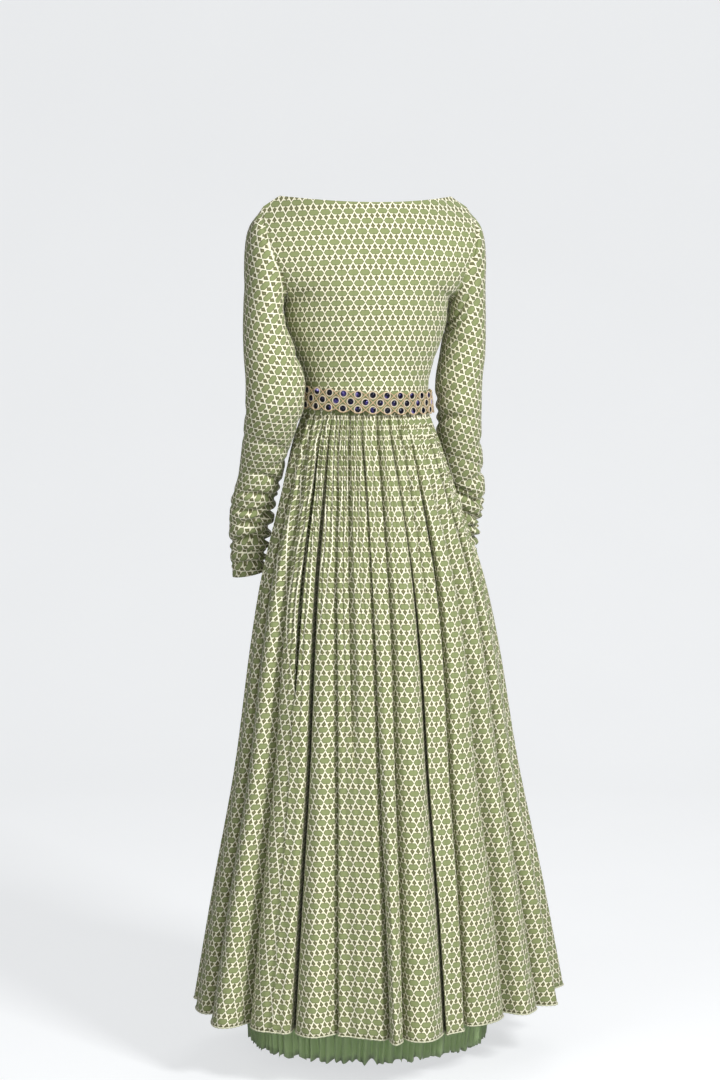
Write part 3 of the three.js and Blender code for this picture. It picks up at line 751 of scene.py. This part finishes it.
def skirt_points(place, level):
    """Points of the skirt: place counts folds round it, level is the share of its length."""
    number = np.floor(place).astype(int)
    share = place - number
    z = mix(SKIRT_TOP, HEM, level)
    drift = level ** DRIFT
    valley = [mix(fold_value("waist", n), fold_value("hem", n), drift) for n in (number, number + 1)]
    angle = np.radians(mix(valley[0], valley[1], share))

    def grown(n):
        end = fold_value("end", n)
        fade = np.where(end < 1, 1 - smooth((level - end + 0.2) / 0.2), 1)
        return (WAIST_DEPTH + (fold_value("depth", n) - WAIST_DEPTH) * level ** DEEPEN) * fade

    near = smooth(share)
    cup = 1 - np.sin(math.pi * share) ** RIDGE_ROUND
    depth = mix(grown(number), grown(number + 1), near) * cup
    slip = mix(fold_value("lean", number), fold_value("lean", number + 1), near) * cup * level ** DEEPEN
    nearest = np.where(share < 0.5, number, number + 1)
    end = fold_value("end", nearest)
    slit = np.where(end < 1, 1 - smooth((level - end + 0.2) / 0.2), 1) * smooth(level * 14)
    slit = slit * dent(np.minimum(share, 1 - share), mix(0.085, 0.055, level))
    strength = np.clip(fold_value("depth", nearest) / 32, 0.35, 1.3)
    depth = depth + mix(SLIT_TOP, SLIT_FOOT * strength, smooth(level * 2.5)) * slit
    slip = slip + SLIT_SLIP * np.where(nearest % 2, 1, -1) * slit * smooth(level * 4)
    before, here, after = (fold_value("reach", number + n) for n in (-1, 0, 1))
    ridge = np.where(share < 0.5, mix((before + here) / 2, here, smooth(share * 2)),
                     mix(here, (here + after) / 2, smooth(share * 2 - 1)))
    out = ridge * level ** FLARE - depth
    out = out - small_gathers(place, level)
    c, s = np.cos(angle), np.sin(angle)
    x = column(SKIRT, "x", z) + (column(SKIRT, "wide", z) + out) * c - slip * s
    y = column(SKIRT, "y", z) + (column(SKIRT, "deep", z) + out) * s + slip * c
    return np.stack([x, y, z], axis=-1)


def small_gathers(place, level):
    """The uneven small gathers that start at the waist and die out down the skirt."""
    draw = np.random.RandomState(SEED)
    total = np.zeros(np.broadcast(place, level).shape)
    folds = len(FOLDS)
    for number in range(folds * GATHERS_PER_FOLD):
        centre = (number + draw.uniform(0.25, 0.75)) / GATHERS_PER_FOLD
        depth = GATHER_DEPTH * draw.uniform(0.5, 1.3)
        reach = draw.uniform(0.08, 0.5)
        wander = draw.uniform(-0.25, 0.25)
        away = (place - centre - wander * level + folds / 2) % folds - folds / 2
        fade = np.exp(-((level / reach) ** 2))
        total += depth * dent(away, 0.055 + 0.05 * level) * fade * smooth(level * 60 + 0.3)
    total += 2.2 * ripple(place * 2.2, level, 6, 0.7, 1.8, SEED + 4) * smooth(level * 4)
    return total


def make_skirt(sizes, cotton, edge_thread):
    hem_line = []
    for panel in PANELS:
        ease = 0.5 - 0.5 * np.cos(np.linspace(0, math.pi, sizes.fold_columns + 1)[:-1])
        steps = np.concatenate([k + ease for k in range(panel["first"], panel["last"])] + [[panel["last"]]])
        level = (np.linspace(0, 1, sizes.skirt_rows) ** 1.15)[:, None]
        place = steps[None, :] + 0 * level
        grid = skirt_points(place, level + 0 * place)
        hem_line.append(grid[-1, :-1])
        fall = np.cumsum(np.concatenate([[0], np.linalg.norm(np.diff(grid.mean(axis=1), axis=0), axis=1)]))
        slip = 3.0 * ripple(place, level, 4, 0.5, 1.3, SEED + panel["first"])
        uv = np.stack([arc_lengths(grid), fall[:, None] * 1.02 + slip], axis=-1) * MM
        piece = cloth_shell(panel["name"], grid, uv, sizes.cloth / MM, cotton)
        keep(piece, [panel["name"]])
    path = np.concatenate(hem_line)
    steps = np.linalg.norm(np.diff(np.concatenate([path, path[:1]]), axis=0), axis=1)
    along = np.concatenate([[0], np.cumsum(steps)])
    even = np.arange(0, along[-1], 1.5)
    loop = np.concatenate([path, path[:1]])
    path = np.stack([np.interp(even, along, loop[:, axis]) for axis in range(3)], axis=1)
    scallop = 0.9 + 0.7 * np.abs(np.sin(even * math.pi / 7.5))
    path[:, 2] += 0.4
    hem = cord_tube("hem_edge", path, scallop, 6, edge_thread)
    keep(hem, [])


# ---- net underskirt -------------------------------------------------------------------
def make_net(sizes, net):
    around = np.linspace(0, 1, NET_PLEATS * 7 + 1)[None, :-1]
    level = (np.linspace(0, 1, 60) ** 0.8)[:, None]
    angle = around * 2 * math.pi + 0 * level
    draw = np.random.RandomState(SEED + 2)
    jitter = np.interp(around * NET_PLEATS, np.arange(NET_PLEATS + 1), draw.uniform(-0.9, 0.9, NET_PLEATS + 1))
    depth = np.interp(around * NET_PLEATS, np.arange(NET_PLEATS + 1), draw.uniform(0.5, 1.2, NET_PLEATS + 1))
    wave = np.sin(around * NET_PLEATS * 2 * math.pi + jitter * 2.2)
    pleat = NET_PLEAT_DEPTH * depth * (wave - 0.3 * wave ** 2) * (0.2 + 0.8 * level)
    pleat = pleat + 5 * ripple(angle * 2, level, 5, 2.0, 5.0, SEED + 8) * level - 3 * level
    ragged = np.interp(around * 240, np.arange(241), draw.uniform(-4, 7, 241))
    z = mix(NET_TOP, NET_FOOT, level) + ragged * smooth((level - 0.9) * 10)
    grid = np.stack([
        column(NET, "x", z) + (column(NET, "wide", z) + pleat) * np.cos(angle),
        column(NET, "y", z) + (column(NET, "deep", z) + pleat) * np.sin(angle), z], axis=-1)
    uv = np.stack([around * 1.9 + 0 * level, -z * MM + 0 * around], axis=-1)
    piece = cloth_shell("net_underskirt", grid, uv, 0.5, net, closed=True)
    nodes = ["net_back_left", "net_back_right", "net_front_right", "net_front_left"]
    keep(piece, nodes)


# ---- belt -----------------------------------------------------------------------------
def belt_place(angle, up, lift):
    """Point on the belt: angle round it, height above its middle line, distance off it."""
    drop = 0.5 - up / BELT_HEIGHT
    wide = mix(BELT["topWide"], BELT["footWide"], drop) + lift
    deep = mix(BELT["topDeep"], BELT["footDeep"], drop) + lift
    x, y = wide * np.cos(angle), deep * np.sin(angle)
    sag = BELT_SAG * np.maximum(np.sin(angle), 0)
    return np.stack([x, y, BELT_MIDDLE + up + BELT_TILT * x - sag], axis=-1)


def belt_angles(count):
    """Angles that split the belt's length evenly, from the centre front round to it again."""
    fine = np.linspace(-math.pi / 2 + 0.01, 1.5 * math.pi - 0.01, 2001)
    points = belt_place(fine, 0 * fine, 0)
    along = np.concatenate([[0], np.cumsum(np.linalg.norm(np.diff(points, axis=0), axis=1))])
    return np.interp(np.linspace(0, along[-1], count), along, fine)


def group_inputs(tree, names):
    """Sockets of a geometry tree: the geometry, its named sizes and the result."""
    sides = tree.interface
    sides.new_socket("Geometry", in_out="INPUT", socket_type="NodeSocketGeometry")
    made = {n: sides.new_socket(n, in_out="INPUT", socket_type="NodeSocketFloat") for n in names}
    sides.new_socket("Geometry", in_out="OUTPUT", socket_type="NodeSocketGeometry")
    return {n: socket.identifier for n, socket in made.items()}


def grow(name, points, edges, turns, tree, identifiers, values, material):
    """Run a geometry tree on points or lines and keep the result as a plain mesh."""
    mesh = bpy.data.meshes.new(name + "_places")
    mesh.from_pydata((points * MM).tolist(), edges, [])
    if turns is not None:
        layer = mesh.attributes.new("turn", "FLOAT_VECTOR", "POINT")
        layer.data.foreach_set("vector", turns.astype(np.float32).ravel())
    obj = bpy.data.objects.new(name, mesh)
    bpy.context.scene.collection.objects.link(obj)
    modifier = obj.modifiers.new("grow", "NODES")
    modifier.node_group = tree
    for key, value in values.items():
        modifier[identifiers[key]] = value
    deps = bpy.context.evaluated_depsgraph_get()
    plain = bpy.data.meshes.new_from_object(obj.evaluated_get(deps), depsgraph=deps)
    obj.modifiers.remove(modifier)
    obj.data = plain
    plain.name = name
    if material.name not in [m.name for m in plain.materials if m]:
        plain.materials.clear()
        plain.materials.append(material)
    plain.polygons.foreach_set("use_smooth", np.ones(len(plain.polygons), bool))
    return obj


def stud_tree(name, material, ring):
    """Places a mirror disc, or a ring of thread, on every point, facing outwards."""
    tree = bpy.data.node_groups.new(name, "GeometryNodeTree")
    identifiers = group_inputs(tree, ["Radius", "Thickness"])
    t = Tree(tree)
    start, end = t.node("NodeGroupInput"), t.node("NodeGroupOutput")
    if ring:
        loop = t.node("GeometryNodeCurvePrimitiveCircle")
        loop.inputs["Resolution"].default_value = 20
        t.put(loop.inputs["Radius"], start.outputs["Radius"])
        section = t.node("GeometryNodeCurvePrimitiveCircle")
        section.inputs["Resolution"].default_value = 6
        t.put(section.inputs["Radius"], start.outputs["Thickness"])
        sweep = t.node("GeometryNodeCurveToMesh")
        t.put(sweep.inputs["Curve"], loop.outputs["Curve"])
        t.put(sweep.inputs["Profile Curve"], section.outputs["Curve"])
        stud = sweep.outputs[0]
    else:
        disc = t.node("GeometryNodeMeshCone")
        disc.inputs["Vertices"].default_value = 20
        t.put(disc.inputs["Radius Bottom"], start.outputs["Radius"])
        t.put(disc.inputs["Radius Top"], t.math("MULTIPLY", start.outputs["Radius"], 0.8))
        t.put(disc.inputs["Depth"], start.outputs["Thickness"])
        stud = disc.outputs["Mesh"]
    place = t.node("GeometryNodeInstanceOnPoints")
    turn = t.node("GeometryNodeInputNamedAttribute", data_type="FLOAT_VECTOR")
    turn.inputs["Name"].default_value = "turn"
    spin = t.node("FunctionNodeEulerToRotation")
    t.put(spin.inputs[0], turn.outputs["Attribute"])
    dots = t.node("GeometryNodeMeshToPoints")
    t.put(dots.inputs["Mesh"], start.outputs["Geometry"])
    t.put(place.inputs["Points"], dots.outputs[0])
    t.put(place.inputs["Instance"], stud)
    t.put(place.inputs["Rotation"], spin.outputs[0])
    real = t.node("GeometryNodeRealizeInstances")
    t.put(real.inputs[0], place.outputs[0])
    colour = t.node("GeometryNodeSetMaterial")
    colour.inputs["Material"].default_value = material
    t.put(colour.inputs["Geometry"], real.outputs[0])
    t.put(end.inputs[0], colour.outputs[0])
    return tree, identifiers


def lattice_tree(name, material):
    """Makes round cord along every line."""
    tree = bpy.data.node_groups.new(name, "GeometryNodeTree")
    identifiers = group_inputs(tree, ["Radius"])
    t = Tree(tree)
    start, end = t.node("NodeGroupInput"), t.node("NodeGroupOutput")
    lines = t.node("GeometryNodeMeshToCurve")
    t.put(lines.inputs["Mesh"], start.outputs["Geometry"])
    section = t.node("GeometryNodeCurvePrimitiveCircle")
    section.inputs["Resolution"].default_value = 6
    t.put(section.inputs["Radius"], start.outputs["Radius"])
    sweep = t.node("GeometryNodeCurveToMesh")
    t.put(sweep.inputs["Curve"], lines.outputs[0])
    t.put(sweep.inputs["Profile Curve"], section.outputs["Curve"])
    sweep.inputs["Fill Caps"].default_value = True
    real = t.node("GeometryNodeRealizeInstances")
    t.put(real.inputs[0], sweep.outputs[0])
    colour = t.node("GeometryNodeSetMaterial")
    colour.inputs["Material"].default_value = material
    t.put(colour.inputs["Geometry"], real.outputs[0])
    t.put(end.inputs[0], colour.outputs[0])
    return tree, identifiers


def facing_turns(angle, draw, sway):
    """Euler turns that stand a stud's axis on the belt's outward direction."""
    turns = []
    for a in angle:
        out = Vector((math.cos(a) / BELT["topWide"], math.sin(a) / BELT["topDeep"], 0.0002))
        out.normalize()
        out += Vector(draw.uniform(-sway, sway, 3))
        turns.append(out.to_track_quat("Z", "Y").to_euler())
    return np.array([list(e) for e in turns])


def make_belt(sizes, cloth, gold, white, glass):
    fine = belt_angles(625)
    scallop = np.abs(np.sin(np.linspace(0, 2 * BELT_COLUMNS, len(fine)) * math.pi / 2))
    up = np.linspace(1, -1, 12)[:, None] * (BELT_ROW_PITCH + BELT_SCALLOP * 0.9 * scallop)
    grid = belt_place(fine[None, :] + 0 * up, up, -0.4)
    uv = np.stack([arc_lengths(grid), up], axis=-1) * MM
    band = cloth_shell("belt_band", grid, uv, 1.6, cloth)
    keep(band, ["belt_band"])

    draw = np.random.RandomState(SEED + 5)
    nodes = belt_angles(2 * BELT_COLUMNS + 1)
    spots, angles = [], []
    for number, up_rows in ((0, (-BELT_ROW_PITCH, BELT_ROW_PITCH)), (1, (0,))):
        for a in nodes[1 - number:-1:2] if number else nodes[1::2]:
            for height in up_rows:
                spots.append(belt_place(np.array(a), np.array(float(height)), 0.5))
                angles.append(a)
    spots, angles = np.array(spots), np.array(angles)
    turns = facing_turns(angles, draw, 0.13)
    tree, ids = stud_tree("mirror_discs", glass, ring=False)
    mirrors = grow("belt_mirrors", spots, [], turns, tree, ids,
                   {"Radius": sizes.mirror_radius, "Thickness": 0.0012}, glass)
    keep(mirrors, [])
    flat_turns = facing_turns(angles, draw, 0.0)
    tree, ids = stud_tree("thread_rings", white, ring=True)
    rings = grow("belt_rings", spots, [], flat_turns, tree, ids,
                 {"Radius": sizes.mirror_radius + 0.0011, "Thickness": 0.0010}, white)
    keep(rings, [])

    tree, ids = lattice_tree("belt_cords", gold)
    points, edges = [], []
    along = np.linspace(0, 1, 13)
    for k in range(2 * BELT_COLUMNS):
        share = 1 - along if k % 2 == 0 else along
        for side in (-1, 1):
            for height in (side * BELT_ROW_PITCH * share,
                           side * (BELT_ROW_PITCH + BELT_SCALLOP * np.cos(share * math.pi / 2))):
                angle = np.interp(k + along, np.arange(len(nodes)), nodes)
                line = belt_place(angle, height, 0.9 + 0 * angle)
                first = len(points)
                points.extend(line)
                edges.extend((first + i, first + i + 1) for i in range(len(along) - 1))
    cords = grow("belt_lattice", np.array(points), edges, None, tree, ids, {"Radius": 0.0009}, gold)
    keep(cords, [])


# ---- stage ----------------------------------------------------------------------------
SKY_STRENGTH = 0.17
TOWARD = Vector((0.2588, 0.9659, 0))    # level direction from the gown to the camera


def make_stage():
    across = np.linspace(-9, 9, 5)[None, :]
    bend = np.radians(np.linspace(0, 90, 25))[:, None]
    behind = np.concatenate([[[-8.0]], 2.5 + 2.5 * np.sin(bend), [[5.0]]])
    height = np.concatenate([[[0.0]], 2.5 - 2.5 * np.cos(bend), [[9.0]]])
    x = across * TOWARD.y - behind * TOWARD.x
    y = -across * TOWARD.x - behind * TOWARD.y
    sweep = np.stack([x, y, FLOOR * MM + height + 0 * across], axis=-1)
    rows, cols = sweep.shape[:2]
    number = np.arange(rows * cols).reshape(rows, cols)
    quads = np.stack([number[:-1, :-1], number[:-1, 1:], number[1:, 1:], number[1:, :-1]], axis=-1)
    floor = add_mesh("studio_floor", sweep.reshape(-1, 3), quads.reshape(-1, 4),
                     np.zeros((quads.size // 4 * 4, 2)), floor_paint())

    world = bpy.data.worlds.new("studio")
    bpy.context.scene.world = world
    world.use_nodes = True
    sky = world.node_tree.nodes["Background"]
    sky.inputs[0].default_value = (0.90, 0.93, 0.96, 1)
    t = Tree(world.node_tree)
    seen = t.node("ShaderNodeLightPath").outputs["Is Camera Ray"]
    t.put(sky.inputs[1], t.math("MULTIPLY_ADD", seen, 0.5, SKY_STRENGTH))
    bpy.context.scene.view_settings.view_transform = "Standard"

    target = Vector((0.00966, -0.00259, -0.575))
    for name, place, power, size in (
            ("key", (-1.5, 3.5, 1.6), 190, 0.9),
            ("fill", (3.2, 2.6, 1.0), 48, 2.0),
            ("low", (0.6, 3.2, -1.0), 26, 1.4),
            ("rim", (-1.5, -2.2, 2.0), 25, 1.5)):
        light = bpy.data.lights.new(name, "AREA")
        light.energy = power
        light.size = size
        lamp = bpy.data.objects.new(name, light)
        lamp.location = place
        lamp.rotation_euler = (target - lamp.location).to_track_quat("-Z", "Y").to_euler()
        bpy.context.scene.collection.objects.link(lamp)

    lens = bpy.data.cameras.new("camera")
    lens.lens = 98.0
    lens.sensor_width = 36.0
    camera = bpy.data.objects.new("camera", lens)
    camera.location = target + TOWARD * 5
    camera.location.z = -0.075
    camera.rotation_euler = (target - camera.location).to_track_quat("-Z", "Y").to_euler()
    bpy.context.scene.collection.objects.link(camera)
    bpy.context.scene.camera = camera


# ---- add-on ---------------------------------------------------------------------------
def colour_property(name, description, default):
    return FloatVectorProperty(name=name, description=description, default=default, size=4,
                               subtype="COLOR", min=0.0, max=1.0)


class GownSizes(bpy.types.PropertyGroup):
    cloth: FloatProperty(name="Cloth", description="Thickness of the printed cloth",
                         default=0.0008, subtype="DISTANCE", unit="LENGTH")
    print_pitch: FloatProperty(name="Print pitch", description="Width of one repeat of the print",
                               default=0.0193, subtype="DISTANCE", unit="LENGTH")
    print_row: FloatProperty(name="Print row", description="Distance from row to row of the print",
                             default=0.0174, subtype="DISTANCE", unit="LENGTH")
    mirror_radius: FloatProperty(name="Mirror radius", description="Radius of the belt's mirrors",
                                 default=0.0050, subtype="DISTANCE", unit="LENGTH")
    fold_columns: IntProperty(name="Fold columns", description="Steps of the mesh across one fold",
                              default=26)
    skirt_rows: IntProperty(name="Skirt rows", description="Steps of the mesh down the skirt",
                            default=140)
    ground_colour: colour_property("Ground", "Cream ground of the print", (0.78, 0.75, 0.55, 1))
    line_colour: colour_property("Lines", "Pale lattice lines of the print", (0.95, 0.92, 0.74, 1))
    pill_colour: colour_property("Pill", "Green of the print", (0.235, 0.275, 0.11, 1))
    pill_edge_colour: colour_property("Pill edge", "Darker edge of the green", (0.14, 0.165, 0.055, 1))
    drop_colour: colour_property("Drop", "Olive drops of the print", (0.13, 0.13, 0.05, 1))
    heart_colour: colour_property("Drop middle", "Middle of the drops", (0.24, 0.24, 0.10, 1))
    net_colour: colour_property("Net", "Green of the net", (0.50, 0.66, 0.33, 1))
    net_shade_colour: colour_property("Net shade", "Shaded green of the net", (0.28, 0.42, 0.17, 1))


def gown_cotton(context):
    return shared_material("printed_cotton", printed_cotton, context.scene.gown_sizes)


class GOWN_OT_bodice(bpy.types.Operator):
    """Make the back and front of the bodice"""
    bl_idname = "gown.bodice"
    bl_label = "Bodice"

    def execute(self, context):
        make_bodice(context.scene.gown_sizes, gown_cotton(context))
        return {"FINISHED"}


class GOWN_OT_sleeves(bpy.types.Operator):
    """Make both sleeves with their creases"""
    bl_idname = "gown.sleeves"
    bl_label = "Sleeves"

    def execute(self, context):
        for name, side in (("sleeve_left", 1), ("sleeve_right", -1)):
            make_sleeve(name, side, context.scene.gown_sizes, gown_cotton(context))
        return {"FINISHED"}


class GOWN_OT_skirt(bpy.types.Operator):
    """Make the four gathered skirt panels and the edge of their hem"""
    bl_idname = "gown.skirt"
    bl_label = "Skirt"

    def execute(self, context):
        edge = thread("hem_thread", (0.80, 0.78, 0.62, 1), (0.42, 0.45, 0.26, 1), 0.8, 0.0, 300.0)
        make_skirt(context.scene.gown_sizes, gown_cotton(context), edge)
        return {"FINISHED"}


class GOWN_OT_net(bpy.types.Operator):
    """Make the pleated net underskirt"""
    bl_idname = "gown.net"
    bl_label = "Net underskirt"

    def execute(self, context):
        sizes = context.scene.gown_sizes
        make_net(sizes, green_net(sizes))
        return {"FINISHED"}


class GOWN_OT_belt(bpy.types.Operator):
    """Make the belt band with its mirrors, thread rings and cord lattice"""
    bl_idname = "gown.belt"
    bl_label = "Belt"

    def execute(self, context):
        cloth = thread("belt_cloth", (0.24, 0.29, 0.12, 1), (0.08, 0.10, 0.04, 1), 0.8, 0.0, 300.0)
        gold = thread("gold_cord", (0.80, 0.60, 0.38, 1), (0.36, 0.23, 0.11, 1), 0.5, 0.2, 700.0)
        white = thread("white_thread", (0.92, 0.82, 0.66, 1), (0.52, 0.42, 0.28, 1), 0.7, 0.0, 800.0)
        make_belt(context.scene.gown_sizes, cloth, gold, white, mirror_glass())
        return {"FINISHED"}


class GOWN_OT_stage(bpy.types.Operator):
    """Make the floor, the lights and the camera"""
    bl_idname = "gown.stage"
    bl_label = "Stage"

    def execute(self, context):
        make_stage()
        return {"FINISHED"}


class GOWN_PT_panel(bpy.types.Panel):
    """Lists the gown's pieces"""
    bl_label = "Gown"
    bl_idname = "GOWN_PT_panel"
    bl_space_type = "VIEW_3D"
    bl_region_type = "UI"
    bl_category = "Gown"

    def draw(self, context):
        for operator in OPERATORS:
            self.layout.operator(operator.bl_idname)
        for key in GownSizes.__annotations__:
            self.layout.prop(context.scene.gown_sizes, key)


OPERATORS = (GOWN_OT_stage, GOWN_OT_bodice, GOWN_OT_sleeves, GOWN_OT_skirt, GOWN_OT_net, GOWN_OT_belt)
CLASSES = (GownSizes,) + OPERATORS + (GOWN_PT_panel,)


def register():
    for cls in CLASSES:
        bpy.utils.register_class(cls)
    bpy.types.Scene.gown_sizes = PointerProperty(type=GownSizes)


def unregister():
    del bpy.types.Scene.gown_sizes
    for cls in reversed(CLASSES):
        bpy.utils.unregister_class(cls)


def main():
    register()
    bpy.ops.gown.stage()
    bpy.ops.gown.bodice()
    bpy.ops.gown.sleeves()
    bpy.ops.gown.skirt()
    bpy.ops.gown.net()
    bpy.ops.gown.belt()


if __name__ == "__main__":
    main()
